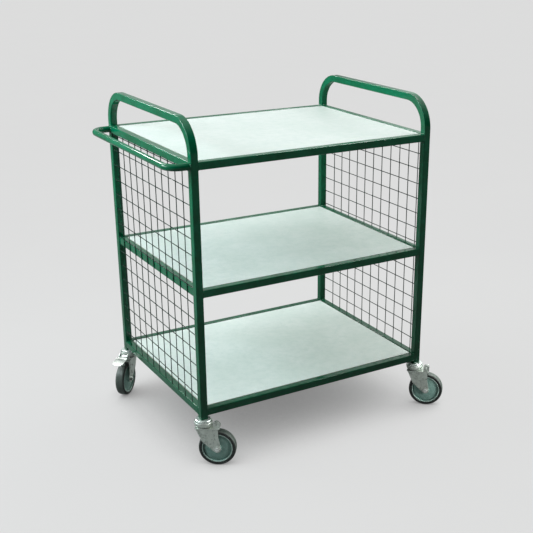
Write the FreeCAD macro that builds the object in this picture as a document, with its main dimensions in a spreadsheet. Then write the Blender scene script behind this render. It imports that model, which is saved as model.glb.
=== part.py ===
import FreeCAD, Part
import math
import os
import Sketcher

# Three-tier stock trolley with welded mesh ends, a push handle and four
# swivel castors, the back two with brakes.  +X points away from the push
# handle ("right"), +Y is the back, +Z is up.  Heights are given above the
# floor; each sub-part's Placement then lowers it so that the origin is the
# centre of the bottom shelf's upper face.

os.makedirs("parts", exist_ok=True)
doc = FreeCAD.newDocument("StockTrolley")

Vector = FreeCAD.Vector
Placement = FreeCAD.Placement
Rotation = FreeCAD.Rotation
Constraint = Sketcher.Constraint

# alias, value in millimetres (swings in degrees), note
SIZES = [
    # frame
    ("overall_length", 890, "outside of post to outside of post"),
    ("overall_depth", 685, "outside of post to outside of post"),
    ("tube_side", 25, "square frame tube"),
    ("tube_wall", 1.5, "square frame tube wall"),
    ("tube_corner", 3, "outer corner radius of the square tube"),
    ("deck_height", 201, "upper face of the bottom shelf"),
    ("bottom_rail_top", 202, "top of the bottom rails"),
    ("middle_rail_top", 612, "top of the middle rails"),
    ("top_rail_top", 1018, "top of the top rails"),
    ("hoop_height", 1144, "top of the end hoops"),
    ("hoop_bend", 97.5, "centreline bend radius of the end hoops"),
    ("post_foot", 165, "underside of the posts"),
    ("end_setback", 3.75, "middle end rails sit this far inside the posts"),
    # push handle
    ("handle_size", 22, "round tube diameter"),
    ("handle_wall", 1.5, "round tube wall"),
    ("handle_height", 1006, "tube centre"),
    ("handle_reach", 65, "tube centre beyond the posts"),
    ("handle_bend", 45, "centreline bend radius"),
    # mesh ends
    ("wire_size", 3, "mesh wire diameter"),
    ("upright_inset", 2.2, "upright wires, centre inside the post face"),
    ("cross_inset", 4.9, "cross wires, centre inside the post face"),
    ("left_upright_start", 71.5, "first upright wire from the front"),
    ("left_upright_pitch", 54.1, "pitch of the upright wires"),
    ("left_cross_start", 243, "lowest cross wire"),
    ("left_cross_pitch", 53.25, "pitch of the cross wires"),
    ("right_upright_start", 60, "first upright wire from the front"),
    ("right_upright_pitch", 53.8, "pitch of the upright wires"),
    ("right_cross_start", 249, "lowest cross wire"),
    ("right_cross_pitch", 53.2, "pitch of the cross wires"),
    # shelf boards and what holds them
    ("board_thick", 15, "laminated board"),
    ("board_gap", 3, "gap between board and rails"),
    ("board_drop", 1, "board face below the rail tops"),
    ("board_corner", 2, "board corner radius"),
    ("strip_width", 15, "flat bar under the board edge"),
    ("strip_thick", 3, "flat bar under the board edge"),
    ("long_strip_gap", 5, "each end of a front or back strip to the posts' inner faces"),
    ("end_strip_gap", 1, "each end of a left or right strip to the long strips"),
    ("screw_size", 4, "board screw shank"),
    ("screw_grip", 10, "board screw length in the board"),
    ("screw_spread", 250, "board screws from the middle"),
    ("screw_slack", 0.25, "radial slack of the screw in the strip"),
    ("screw_head_low", 3, "head radius at its lower face"),
    ("screw_head_high", 4.2, "head radius against the strip"),
    ("screw_head_height", 2.4, "board screw head"),
    # castor, fixed half
    ("plug_side", 21.9, "square plug in the post foot"),
    ("plug_length", 40, "square plug in the post foot"),
    ("mount_bolt_size", 12, "castor mounting bolt"),
    ("mount_bolt_reach", 35, "mounting bolt above the post foot"),
    ("mount_head_across", 19, "mounting bolt head across flats"),
    ("mount_head_height", 7, "mounting bolt head"),
    ("crown_radius", 26.5, "fixed top cap of the swivel head"),
    ("hub_radius", 9, "hollow king pin of the cap"),
    ("flange_radius", 14, "flange at the foot of the king pin"),
    ("race_radius", 21.5, "ball circle"),
    ("ball_size", 7, "bearing ball"),
    ("ball_middle", 153.5, "height of the ball circle"),
    # castor, swivelling half
    ("trail", 45, "axle behind the swivel axis"),
    ("wheel_radius", 62.5, "125 mm wheel"),
    ("tread_width", 32, "width of the tyre"),
    ("fork_gap", 38, "between the fork legs"),
    ("fork_sheet", 2.5, "fork sheet thickness"),
    ("fork_top", 138, "upper face of the fork plate"),
    ("plate_length", 82, "fork plate along the trail"),
    ("plate_middle", 14, "middle of the fork plate behind the swivel axis"),
    ("plate_lip", 2.5, "fork plate beyond each leg"),
    ("plate_corner", 7, "fork plate corner radius"),
    ("bowl_radius", 31, "widest radius of the swivel bowl"),
    ("bowl_foot", 18.5, "radius of the bowl where it leaves the plate"),
    ("bowl_rise", 14.5, "height at which the bowl is widest, above the plate"),
    ("boss_radius", 13, "fork leg around the axle"),
    ("axle_size", 8, "axle bolt"),
    ("axle_beyond", 8, "axle bolt end beyond the leg"),
    ("axle_across", 13, "axle bolt head and nut across flats"),
    ("axle_head_height", 5.3, "axle bolt head"),
    ("axle_nut_height", 6.5, "axle nut"),
    ("bush_radius", 7, "outside of the axle bush"),
    ("rim_radius", 50, "tyre seat"),
    ("rim_half_width", 12.5, "half the width of the tyre seat"),
    ("ring_radius", 51, "raised ring of the wheel centre"),
    # brake
    ("pivot_height", 151, "brake pedal pivot"),
    ("pivot_size", 6, "brake pedal pivot pin"),
    ("ear_radius", 11, "ears that carry the pivot"),
    ("ear_outside", 17, "outer faces of the ears from the middle"),
    ("narrow_ear", 8.5, "outer face of the second ear on a castor without a brake"),
    ("pedal_end", 116, "tip of the pedal from the swivel axis"),
    ("pedal_half_width", 20.5, "half the pedal's width"),
    ("pedal_hub_radius", 6.5, "rolled hub of the pedal"),
    ("pedal_hub_far", 13.8, "hub end on the +Y side of the castor"),
    ("pedal_hub_near", 7, "hub end on the -Y side of the castor"),
    # rest directions in which the castors trail, in degrees from +X
    ("swing_front_left", -34, "front left castor"),
    ("swing_front_right", -42, "front right castor"),
    ("swing_back_left", 226, "back left castor"),
    ("swing_back_right", 228, "back right castor"),
]

CLEARANCE = 0.05      # between a castor's moving or nested faces
THREAD_GAP = 0.02     # radial, between a bolt and its tapped hole
PLUG_CORNER = 2.0
BALL_COUNT = 14
UPRIGHT_COUNT = 11

sheet = doc.addObject("Spreadsheet::Sheet", "Sizes")
for row, (alias, value, note) in enumerate(SIZES, 1):
    sheet.set("A%d" % row, note)
    sheet.set("B%d" % row, str(value))
    sheet.setAlias("B%d" % row, alias)
doc.recompute()


class Number:
    """A length with both its value now and the expression that drives it."""

    def __init__(self, value, text):
        self.value = float(value)
        self.text = text

    def _join(self, other, sign, value):
        return Number(value, "(%s %s %s)" % (self.text, sign, number(other).text))

    def __add__(self, other):
        return self._join(other, "+", self.value + number(other).value)

    def __sub__(self, other):
        return self._join(other, "-", self.value - number(other).value)

    def __mul__(self, other):
        return self._join(other, "*", self.value * number(other).value)

    def __truediv__(self, other):
        return self._join(other, "/", self.value / number(other).value)

    def __radd__(self, other):
        return number(other) + self

    def __rsub__(self, other):
        return number(other) - self

    def __rmul__(self, other):
        return number(other) * self

    def __neg__(self):
        return number(0) - self


def number(x):
    if isinstance(x, Number):
        return x
    return Number(x, "%.9g" % x if x >= 0 else "(0 - %.9g)" % -x)


class SizeTable:
    """Holds every alias of the sheet as a Number."""


size = SizeTable()
for alias, value, note in SIZES:
    setattr(size, alias, Number(value, "Sizes." + alias))


# ------------------------------------------------------------------ helpers

def vector(*coordinates):
    return Vector(*[number(c).value for c in coordinates])


def bind(part, prop, value):
    value = number(value)
    if "Sizes." in value.text or "." in prop:
        part.setExpression(prop, value.text)
    else:
        setattr(part, prop, value.value)


def place(part, base, axis=(0, 0, 1), angle=0):
    part.Placement = Placement(vector(*base), Rotation(Vector(*axis), angle))
    for key, value in zip("xyz", base):
        bind(part, "Placement.Base." + key, value)


subparts = []


def subpart(part, label, placement=None):
    """Register a piece for export; without a placement it is only lowered."""
    part.Label = label
    if placement is None:
        part.Placement = Placement(vector(0, 0, -size.deck_height), Rotation())
        part.setExpression("Placement.Base.z", "0 - Sizes.deck_height")
    else:
        part.Placement = placement
    subparts.append(part)


def body(label):
    return doc.addObject("PartDesign::Body", label)


def sketch(part, name, role, offset=None):
    """Sketch on one of the body's own origin planes, lifted along its normal.

    The normal of XY_Plane is +Z, of YZ_Plane +X, but of XZ_Plane -Y.
    """
    profile = part.newObject("Sketcher::SketchObject", name)
    plane = [f for f in part.Origin.OriginFeatures if f.Role == role][0]
    profile.AttachmentSupport = [(plane, "")]
    profile.MapMode = "FlatFace"
    if offset is not None:
        profile.AttachmentOffset = Placement(vector(0, 0, offset), Rotation())
        bind(profile, "AttachmentOffset.Base.z", offset)
    return profile


def limit(profile, kind, places, value):
    """A dimension of the sketch, bound to the sheet."""
    value = number(value)
    index = profile.addConstraint(Constraint(kind, *places, value.value))
    if "Sizes." in value.text:
        profile.setExpression("Constraints[%d]" % index, value.text)


def pin_point(profile, edge, end, x, y):
    """Fix an edge's point: end 1 is its start, 2 its end, 3 its centre."""
    for kind, value, axis in (("DistanceX", number(x), -2), ("DistanceY", number(y), -1)):
        if abs(value.value) < 1e-9:
            profile.addConstraint(Constraint("PointOnObject", edge, end, axis))
        else:
            limit(profile, kind, (-1, 1, edge, end), value)


def arc(centre, radius, start, stop):
    return Part.ArcOfCircle(Part.Circle(centre, Vector(0, 0, 1), radius), start, stop)


def rounded(profile, middle_x, middle_y, width, depth, radius):
    """Rectangle with round corners, anticlockwise from its lower edge."""
    first = profile.GeometryCount
    across = number(width) - 2 * radius
    along = number(depth) - 2 * radius
    q = number(radius).value
    middle = vector(middle_x, middle_y, 0)
    centres = [middle + Vector(i * across.value / 2, j * along.value / 2, 0)
               for i, j in ((1, -1), (1, 1), (-1, 1), (-1, -1))]
    outward = [Vector(0, -1, 0), Vector(1, 0, 0), Vector(0, 1, 0), Vector(-1, 0, 0)]
    for k in range(4):
        shift = outward[k] * q
        profile.addGeometry(Part.LineSegment(centres[k - 1] + shift, centres[k] + shift))
        profile.addGeometry(arc(centres[k], q, (k - 1) * math.pi / 2, k * math.pi / 2))
    for k in range(8):
        profile.addConstraint(Constraint("Tangent", first + k, 2, first + (k + 1) % 8, 1))
    for k, way in ((0, "Horizontal"), (2, "Vertical"), (4, "Horizontal"), (6, "Vertical")):
        profile.addConstraint(Constraint(way, first + k))
    for k in (3, 5, 7):
        profile.addConstraint(Constraint("Equal", first + 1, first + k))
    limit(profile, "Radius", (first + 1,), radius)
    limit(profile, "DistanceX", (first + 7, 3, first + 1, 3), across)
    limit(profile, "DistanceY", (first + 1, 3, first + 3, 3), along)
    pin_point(profile, first + 7, 3, middle_x - across / 2, middle_y - along / 2)


def circle(profile, x, y, radius):
    edge = profile.addGeometry(
        Part.Circle(vector(x, y, 0), Vector(0, 0, 1), number(radius).value))
    limit(profile, "Radius", (edge,), radius)
    pin_point(profile, edge, 3, x, y)


def outline(profile, points):
    """Closed run of straight edges through the points."""
    first = profile.GeometryCount
    corners = [vector(x, y, 0) for x, y in points]
    count = len(corners)
    profile.addGeometry([Part.LineSegment(corners[i], corners[(i + 1) % count])
                         for i in range(count)])
    for i in range(count):
        profile.addConstraint(
            Constraint("Coincident", first + i, 2, first + (i + 1) % count, 1))
    for i, (x, y) in enumerate(points):
        pin_point(profile, first + i, 1, x, y)


def flipped(points):
    return [(x, -number(y)) for x, y in points]


def mirrored(points):
    """The points, then their mirror images in the X axis on the way back."""
    return points + flipped(reversed(points))


def pad(part, name, profile, length):
    feature = part.newObject("PartDesign::Pad", name)
    feature.Profile = profile
    bind(feature, "Length", length)


def revolve(part, name, profile):
    feature = part.newObject("PartDesign::Revolution", name)
    feature.Profile = profile
    feature.ReferenceAxis = (profile, ["V_Axis"])
    feature.Angle = 360.0


def require_cut(feature, before):
    doc.recompute()
    if feature.Shape.isNull() or feature.Shape.Volume > before.Shape.Volume - 1e-3:
        raise RuntimeError(feature.Name + " cuts nothing")


def pocket(part, name, profile, length, along_normal=False):
    """Cut against the sketch's normal, or along it."""
    before = part.Tip
    feature = part.newObject("PartDesign::Pocket", name)
    feature.Profile = profile
    bind(feature, "Length", length)
    feature.Reversed = along_normal
    require_cut(feature, before)


def groove(part, name, profile):
    before = part.Tip
    feature = part.newObject("PartDesign::Groove", name)
    feature.Profile = profile
    feature.ReferenceAxis = (profile, ["V_Axis"])
    feature.Angle = 360.0
    require_cut(feature, before)


def cross_bore(part, label, sketch_end, cut_end, x, z, radius):
    """Round hole along Y, right through a castor piece."""
    profile = sketch(part, label + sketch_end, "XZ_Plane", -40)
    circle(profile, x, z, radius)
    pocket(part, label + cut_end, profile, 80, True)


def pipe(part, name, section, path):
    feature = part.newObject("PartDesign::AdditivePipe", name)
    feature.Profile = section
    feature.Spine = path


def rod(name, radius, length, base, axis=(0, 0, 1), angle=0):
    cylinder = doc.addObject("Part::Cylinder", name)
    place(cylinder, base, axis, angle)
    bind(cylinder, "Radius", radius)
    bind(cylinder, "Height", length)
    return cylinder


def block(name, length, width, height, base):
    box = doc.addObject("Part::Box", name)
    for prop, value in (("Length", length), ("Width", width), ("Height", height)):
        bind(box, prop, value)
    place(box, base)
    return box


def hexagon(name, across, height, base, axis=(0, 0, 1), angle=0):
    prism = doc.addObject("Part::Prism", name)
    prism.Polygon = 6
    bind(prism, "Circumradius", across / math.sqrt(3))
    bind(prism, "Height", height)
    place(prism, base, axis, angle)
    return prism


def boolean(kind, name, base, tool):
    result = doc.addObject("Part::" + kind, name)
    result.Base = base
    result.Tool = tool
    return result


def compound(name, members):
    group = doc.addObject("Part::Compound", name)
    group.Links = members
    return group


# ---------------------------------------------------------------- the frame

half_x = size.overall_length / 2
half_y = size.overall_depth / 2
post_x = half_x - size.tube_side / 2
post_y = half_y - size.tube_side / 2
inner_x = half_x - size.tube_side    # inner faces of the posts
inner_y = half_y - size.tube_side

TIERS = (("bottom", size.bottom_rail_top), ("middle", size.middle_rail_top),
         ("top", size.top_rail_top))


def end_inset(tier):
    """How far the end rails of this tier stand inside the posts."""
    return size.end_setback if tier == "middle" else number(0)


def tube_section(profile, x, y):
    hollow = size.tube_side - 2 * size.tube_wall
    rounded(profile, x, y, size.tube_side, size.tube_side, size.tube_corner)
    rounded(profile, x, y, hollow, hollow, size.tube_corner - size.tube_wall)


def u_path(path, corners, bend, bar_horizontal):
    """Leg, bend, bar, bend, leg through four corners, turning clockwise."""
    flat = [vector(x, y, 0) for x, y in corners]
    ways = [(b - a).normalize() for a, b in zip(flat, flat[1:])]
    radius = bend.value

    def turn(k):
        start = math.atan2(ways[k - 1].y, ways[k - 1].x)
        centre = flat[k] + (ways[k] - ways[k - 1]) * radius
        return arc(centre, radius, start, start + math.pi / 2)

    path.addGeometry([
        Part.LineSegment(flat[0], flat[1] - ways[0] * radius),
        turn(1),
        Part.LineSegment(flat[1] + ways[1] * radius, flat[2] - ways[1] * radius),
        turn(2),
        Part.LineSegment(flat[2] + ways[2] * radius, flat[3])])
    leg_way, bar_way = "Horizontal", "Vertical"
    if bar_horizontal:
        leg_way, bar_way = bar_way, leg_way
    path.addConstraint([
        Constraint(leg_way, 0), Constraint(bar_way, 2), Constraint(leg_way, 4),
        Constraint("Tangent", 0, 2, 1, 2), Constraint("Tangent", 1, 1, 2, 1),
        Constraint("Tangent", 2, 2, 3, 2), Constraint("Tangent", 3, 1, 4, 1),
        Constraint("Equal", 1, 3)])
    limit(path, "Radius", (1,), bend)
    pin_point(path, 0, 1, *corners[0])
    pin_point(path, 4, 2, *corners[3])
    if bar_horizontal:
        limit(path, "DistanceY", (-1, 1, 2, 1), corners[1][1])
    else:
        limit(path, "DistanceX", (-1, 1, 2, 1), corners[1][0])


def end_hoop(label, x):
    """One square tube bent twice: two posts and the top bar."""
    hoop = body(label)
    bar = size.hoop_height - size.tube_side / 2
    path = sketch(hoop, label + "_path", "YZ_Plane", x)
    u_path(path, [(-post_y, size.post_foot), (-post_y, bar),
                  (post_y, bar), (post_y, size.post_foot)], size.hoop_bend, True)
    section = sketch(hoop, label + "_section", "XY_Plane", size.post_foot)
    tube_section(section, x, -post_y)
    pipe(hoop, label + "_tube", section, path)
    subpart(hoop, label)


def rail(label, plane, across, height, reach):
    """Straight tube between two posts; reach is half its length."""
    tube = body(label)
    section = sketch(tube, label + "_section", plane, -reach)
    tube_section(section, across, height)
    pad(tube, label + "_run", section, 2 * reach)
    subpart(tube, label)


def push_handle():
    """Round tube bent into a U, welded to the left posts."""
    handle = body("push_handle")
    bar = -(half_x + size.handle_reach)
    path = sketch(handle, "push_handle_path", "XY_Plane", size.handle_height)
    u_path(path, [(-half_x, -post_y), (bar, -post_y), (bar, post_y), (-half_x, post_y)],
           size.handle_bend, False)
    section = sketch(handle, "push_handle_section", "YZ_Plane", -half_x)
    outside = size.handle_size / 2
    for radius in (outside, outside - size.handle_wall):
        circle(section, -post_y, size.handle_height, radius)
    pipe(handle, "push_handle_tube", section, path)
    subpart(handle, "push_handle")


end_hoop("end_hoop_left", -post_x)
end_hoop("end_hoop_right", post_x)
for tier, top in TIERS:
    middle = top - size.tube_side / 2
    for side, sign in (("front", -1), ("back", 1)):
        rail("rail_%s_%s" % (tier, side), "YZ_Plane", sign * post_y, middle, inner_x)
    for side, sign in (("left", -1), ("right", 1)):
        rail("rail_%s_%s" % (tier, side), "XZ_Plane", sign * (post_x - end_inset(tier)),
             middle, inner_y)
push_handle()


# ---------------------------------------------------------------- mesh ends

def mesh_panel(side, sign, cross_count):
    """Welded panel.

    Upright wires run from the bottom rail's top face to under the top rail,
    outside the middle rail; cross wires lie inside them, from post to post.
    """
    upright_start = getattr(size, side + "_upright_start")
    upright_pitch = getattr(size, side + "_upright_pitch")
    cross_start = getattr(size, side + "_cross_start")
    cross_pitch = getattr(size, side + "_cross_pitch")
    height = size.top_rail_top - size.tube_side - size.bottom_rail_top
    wires = []
    for k in range(UPRIGHT_COUNT):
        base = (sign * (half_x - size.upright_inset),
                upright_start + k * upright_pitch - half_y, size.bottom_rail_top)
        wires.append(rod("%s_upright_%d" % (side, k), size.wire_size / 2, height, base))
    for k in range(cross_count):
        base = (sign * (half_x - size.cross_inset), inner_y, cross_start + k * cross_pitch)
        wires.append(rod("%s_cross_%d" % (side, k), size.wire_size / 2, 2 * inner_y,
                         base, (1, 0, 0), 90))
    panel = doc.addObject("Part::MultiFuse", "mesh_panel_" + side)
    panel.Shapes = wires
    subpart(panel, "mesh_panel_" + side)


mesh_panel("left", -1, 15)
mesh_panel("right", 1, 14)


# ------------------------------------------- shelf boards, strips and screws

screw_y = inner_y - size.strip_width / 2


def shelf_board(tier, under):
    label = "shelf_board_" + tier
    board = body(label)
    face = sketch(board, label + "_face", "XY_Plane", under)
    rounded(face, 0, 0, 2 * (inner_x - size.board_gap - end_inset(tier)),
            2 * (inner_y - size.board_gap), size.board_corner)
    pad(board, label + "_slab", face, size.board_thick)
    # blind holes for the screws that come up through the support strips
    holes = sketch(board, label + "_holes", "XY_Plane", under)
    for side_x in (-1, 1):
        for side_y in (-1, 1):
            circle(holes, side_x * size.screw_spread, side_y * screw_y, size.screw_size / 2)
    pocket(board, label + "_bores", holes, size.screw_grip, True)
    subpart(board, label)


def board_screw(key, x, y, seat):
    """Screw driven upwards, its tapered head under the strip at seat."""
    shank = rod("shank_" + key, size.screw_size / 2, size.screw_grip + size.strip_thick,
                (x, y, seat))
    head = doc.addObject("Part::Cone", "head_" + key)
    bind(head, "Radius1", size.screw_head_low)
    bind(head, "Radius2", size.screw_head_high)
    bind(head, "Height", size.screw_head_height)
    place(head, (x, y, seat - size.screw_head_height))
    return boolean("Fuse", "screw_" + key, head, shank)


def long_strip(name, sign, seat):
    """Drilled flat bar inside a front or back rail, and its two screws."""
    y = -inner_y if sign < 0 else inner_y - size.strip_width
    bar = block("strip_" + name, 2 * (inner_x - size.long_strip_gap), size.strip_width,
                size.strip_thick, (size.long_strip_gap - inner_x, y, seat))
    holes, screws = [], []
    for side, side_x in (("left", -1), ("right", 1)):
        key = "%s_%s" % (name, side)
        x, y = side_x * size.screw_spread, sign * screw_y
        # the drill stands 1 mm proud of both faces
        holes.append(rod("clear_" + key, size.screw_size / 2 + size.screw_slack,
                         size.strip_thick + 2, (x, y, seat - 1)))
        screws.append(board_screw(key, x, y, seat))
    return boolean("Cut", "drilled_" + name, bar, compound("holes_" + name, holes)), screws


def end_strip(tier, side, sign, seat):
    """Flat bar inside a left or right rail, between the long strips."""
    edge = inner_x - end_inset(tier)
    x = -edge if sign < 0 else edge - size.strip_width
    reach = inner_y - size.strip_width - size.end_strip_gap
    return block("strip_%s_%s" % (tier, side), size.strip_width, 2 * reach,
                 size.strip_thick, (x, -reach, seat))


all_strips, all_screws = [], []
for tier, top in TIERS:
    under = top - size.board_drop - size.board_thick
    seat = under - size.strip_thick
    shelf_board(tier, under)
    for side, sign in (("front", -1), ("back", 1)):
        strip, screws = long_strip("%s_%s" % (tier, side), sign, seat)
        all_strips.append(strip)
        all_screws += screws
    for side, sign in (("left", -1), ("right", 1)):
        all_strips.append(end_strip(tier, side, sign, seat))
subpart(compound("board_support_strips", all_strips), "board_support_strips")
subpart(compound("board_screws", all_screws), "board_screws")


# ------------------------------------------------------ castors, fixed parts

# place, side along X, side along Y, rest direction, has a brake
CASTORS = (
    ("front_left", -1, -1, size.swing_front_left, False),
    ("front_right", 1, -1, size.swing_front_right, False),
    ("back_left", -1, 1, size.swing_back_left, True),
    ("back_right", 1, 1, size.swing_back_right, True),
)

bolt_seat = size.fork_top - 0.5    # underside of the cap, where the bolt head bears


def stem_plug(where, x, y):
    """Square steel plug in the post foot, tapped for the castor bolt."""
    raw = block("plug_block_" + where, size.plug_side, size.plug_side, size.plug_length,
                (x - size.plug_side / 2, y - size.plug_side / 2, size.post_foot))
    doc.recompute()
    plug = doc.addObject("Part::Fillet", "plug_round_" + where)
    plug.Base = raw
    upright = [i for i, edge in enumerate(raw.Shape.Edges, 1)
               if abs(edge.Vertexes[0].Point.z - edge.Vertexes[1].Point.z) > 1]
    plug.Edges = [(i, PLUG_CORNER, PLUG_CORNER) for i in upright]
    # the bore tool stands 2 mm proud of both ends
    bore = rod("plug_bore_" + where, size.mount_bolt_size / 2 + THREAD_GAP,
               size.plug_length + 4, (x, y, size.post_foot - 2))
    return boolean("Cut", "plug_" + where, plug, bore)


def mount_bolt(where, x, y):
    """Hexagon-headed bolt from under the cap up into the plug."""
    head = hexagon("bolt_head_" + where, size.mount_head_across, size.mount_head_height,
                   (x, y, bolt_seat - size.mount_head_height))
    shank = rod("bolt_shank_" + where, size.mount_bolt_size / 2,
                size.post_foot + size.mount_bolt_reach - bolt_seat, (x, y, bolt_seat))
    return boolean("Fuse", "bolt_" + where, head, shank)


def bearing_balls(where, x, y):
    """One ring of balls."""
    ring = []
    for k in range(BALL_COUNT):
        angle = 2 * math.pi * k / BALL_COUNT
        ball = doc.addObject("Part::Sphere", "ball_%s_%d" % (where, k))
        bind(ball, "Radius", size.ball_size / 2)
        place(ball, (x + size.race_radius * math.cos(angle),
                     y + size.race_radius * math.sin(angle), size.ball_middle))
        ring.append(ball)
    return ring


plugs, bolts, balls = [], [], []
for where, side_x, side_y, swing, braked in CASTORS:
    x, y = side_x * post_x, side_y * post_y
    plugs.append(stem_plug(where, x, y))
    bolts.append(mount_bolt(where, x, y))
    balls += bearing_balls(where, x, y)
for label, members in (("castor_stem_plugs", plugs), ("castor_mount_bolts", bolts),
                       ("castor_bearing_balls", balls)):
    subpart(compound(label, members), label)


# ------------------------------------------------------- castors, each alone
# A castor's own frame has the swivel axis as Z and +X towards its axle.

top_race = size.ball_middle + size.ball_size / 2 + CLEARANCE
low_race = size.ball_middle - size.ball_size / 2 - CLEARANCE
leg_out = size.fork_gap / 2 + size.fork_sheet


def castor_crown(where, placement):
    """Fixed cap: upper race, hollow king pin and its riveted flange."""
    label = "castor_crown_" + where
    crown = body(label)
    profile = sketch(crown, label + "_profile", "XZ_Plane")
    bore = size.mount_bolt_size / 2 + CLEARANCE
    rim, top, plate = size.crown_radius, size.post_foot, size.fork_top
    # radius, height
    outline(profile, [
        (bore, top), (rim - 3, top), (rim - 0.8, top - 1), (rim, top - 3),
        (rim, top - 7.2), (rim - 1.5, top - 7.2), (rim - 1.5, top_race),
        (size.hub_radius, top_race), (size.hub_radius, plate + 2.5),
        (size.flange_radius, plate + 2.5), (size.flange_radius, bolt_seat),
        (bore, bolt_seat)])
    revolve(crown, label + "_turned", profile)
    subpart(crown, label, placement)


def leg_outline(profile):
    """Fork leg from the side: wide under the plate, narrowing to the axle boss."""
    axle = vector(size.trail, size.wheel_radius, 0)
    radius = size.boss_radius.value
    top = size.fork_top - size.fork_sheet / 2
    # x, height; the straight sides run from the first and last to the boss
    points = [(-4, 91), (-23, 134), (-23, top), (50, top), (50, 106)]
    corners = [vector(x, z, 0) for x, z in points]

    def touch_angle(corner, side):
        """Where on the boss the tangent from the corner touches."""
        away = corner - axle
        return math.atan2(away.y, away.x) + side * math.acos(radius / away.Length)

    def on_boss(angle):
        return axle + Vector(radius * math.cos(angle), radius * math.sin(angle), 0)

    trailing = touch_angle(corners[4], -1)
    leading = touch_angle(corners[0], 1)
    profile.addGeometry([Part.LineSegment(corners[i], corners[i + 1]) for i in range(4)])
    profile.addGeometry(Part.LineSegment(corners[4], on_boss(trailing)))
    profile.addGeometry(arc(axle, radius, leading, trailing + 2 * math.pi))
    profile.addGeometry(Part.LineSegment(on_boss(leading), corners[0]))
    for i in range(4):
        profile.addConstraint(Constraint("Coincident", i, 2, i + 1, 1))
    profile.addConstraint(Constraint("Tangent", 4, 2, 5, 2))
    profile.addConstraint(Constraint("Tangent", 5, 1, 6, 1))
    profile.addConstraint(Constraint("Coincident", 6, 2, 0, 1))
    limit(profile, "Radius", (5,), size.boss_radius)
    pin_point(profile, 5, 3, size.trail, size.wheel_radius)
    for i, (x, z) in enumerate(points):
        pin_point(profile, i, 1, x, z)


def bowl_points():
    """Half section of the solid bowl: radius, height."""
    rim, plate = size.bowl_radius, size.fork_top
    foot, rise = size.bowl_foot, size.bowl_rise
    points = [(0, plate - 1), (foot, plate - 1)]
    for k in range(9):
        angle = math.radians(10 * k)
        points.append((foot + (rim - foot) * math.sin(angle),
                       plate + rise - rise * math.cos(angle)))
    return points + [
        (rim, plate + rise), (rim - 0.2, plate + 17.5), (rim - 0.9, plate + 19.6),
        (rim - 1.8, plate + 20.2), (rim - 2.6, plate + 19.6), (rim - 2.8, plate + 17),
        (rim - 2.8, low_race + 2), (rim - 3.6, low_race + 0.6), (rim - 5, low_race),
        (0, low_race)]


def fork_ear(fork, label, side, y):
    """Round-topped ear on the plate, from y to one sheet thickness further."""
    profile = sketch(fork, "%s_ear_%s" % (label, side), "XZ_Plane", -(y + size.fork_sheet))
    middle, pivot, radius = size.trail, size.pivot_height, size.ear_radius
    # x, height: both ends of the round top with the foot between them
    points = [(middle - radius, pivot), (middle - radius, size.fork_top - 1),
              (middle + radius - 1, size.fork_top - 1), (middle + radius, pivot)]
    corners = [vector(x, z, 0) for x, z in points]
    profile.addGeometry(arc(vector(middle, pivot, 0), radius.value, 0, math.pi))
    profile.addGeometry([Part.LineSegment(corners[i], corners[i + 1]) for i in range(3)])
    for i in range(4):
        profile.addConstraint(Constraint("Coincident", i, 2, (i + 1) % 4, 1))
    limit(profile, "DistanceY", (-1, 1, 0, 3), pivot)
    for i in range(3):
        pin_point(profile, i + 1, 1, *points[i])
    pin_point(profile, 3, 2, *points[3])
    pad(fork, "%s_lug_%s" % (label, side), profile, size.fork_sheet)


def castor_fork(where, braked, placement):
    """Pressed fork: plate, two legs, swivel bowl and the two pivot ears."""
    label = "castor_fork_" + where
    fork = body(label)
    side = sketch(fork, label + "_side", "XZ_Plane", -leg_out)
    leg_outline(side)
    pad(fork, label + "_legs", side, 2 * leg_out)
    channel = sketch(fork, label + "_channel", "YZ_Plane", 120)
    gap, ceiling = size.fork_gap / 2, size.fork_top - size.fork_sheet
    outline(channel, [(-gap, 20), (gap, 20), (gap, ceiling), (-gap, ceiling)])
    pocket(fork, label + "_between", channel, 240)
    plate = sketch(fork, label + "_plate", "XY_Plane", ceiling)
    rounded(plate, size.plate_middle, 0, size.plate_length, 2 * (leg_out + size.plate_lip),
            size.plate_corner)
    pad(fork, label + "_crown", plate, size.fork_sheet)
    # bowl of the swivel head, carrying the balls
    bowl = sketch(fork, label + "_bowl", "XZ_Plane")
    outline(bowl, bowl_points())
    revolve(fork, label + "_head", bowl)
    # room for the king pin and its flange: radius, height
    recess = sketch(fork, label + "_recess", "XZ_Plane")
    neck, base = size.hub_radius + CLEARANCE, size.fork_top
    outline(recess, [(0, base - 8), (18, base - 8), (18, base + 0.5), (15.5, base + 3),
                     (neck, base + 3), (neck, low_race + 2), (0, low_race + 2)])
    groove(fork, label + "_hollow", recess)
    # one ear each side of the pedal, or a narrow pair on a castor without one
    fork_ear(fork, label, "near", -size.ear_outside)
    fork_ear(fork, label, "far",
             size.ear_outside - size.fork_sheet if braked else -size.narrow_ear)
    cross_bore(fork, label, "_pivot_hole", "_pivot", size.trail, size.pivot_height,
               size.pivot_size / 2 + CLEARANCE)
    cross_bore(fork, label, "_axle_hole", "_axle", size.trail, size.wheel_radius,
               size.axle_size / 2 + CLEARANCE)
    subpart(fork, label, placement)


def axle_bolt(where, placement):
    label = "castor_axle_bolt_" + where
    end = leg_out + size.axle_beyond
    head = hexagon(label + "_head", size.axle_across, size.axle_head_height,
                   (0, -leg_out, 0), (1, 0, 0), 90)
    shank = rod(label + "_shank", size.axle_size / 2, leg_out + end, (0, end, 0),
                (1, 0, 0), 90)
    subpart(boolean("Fuse", label, head, shank), label, placement)


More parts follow.
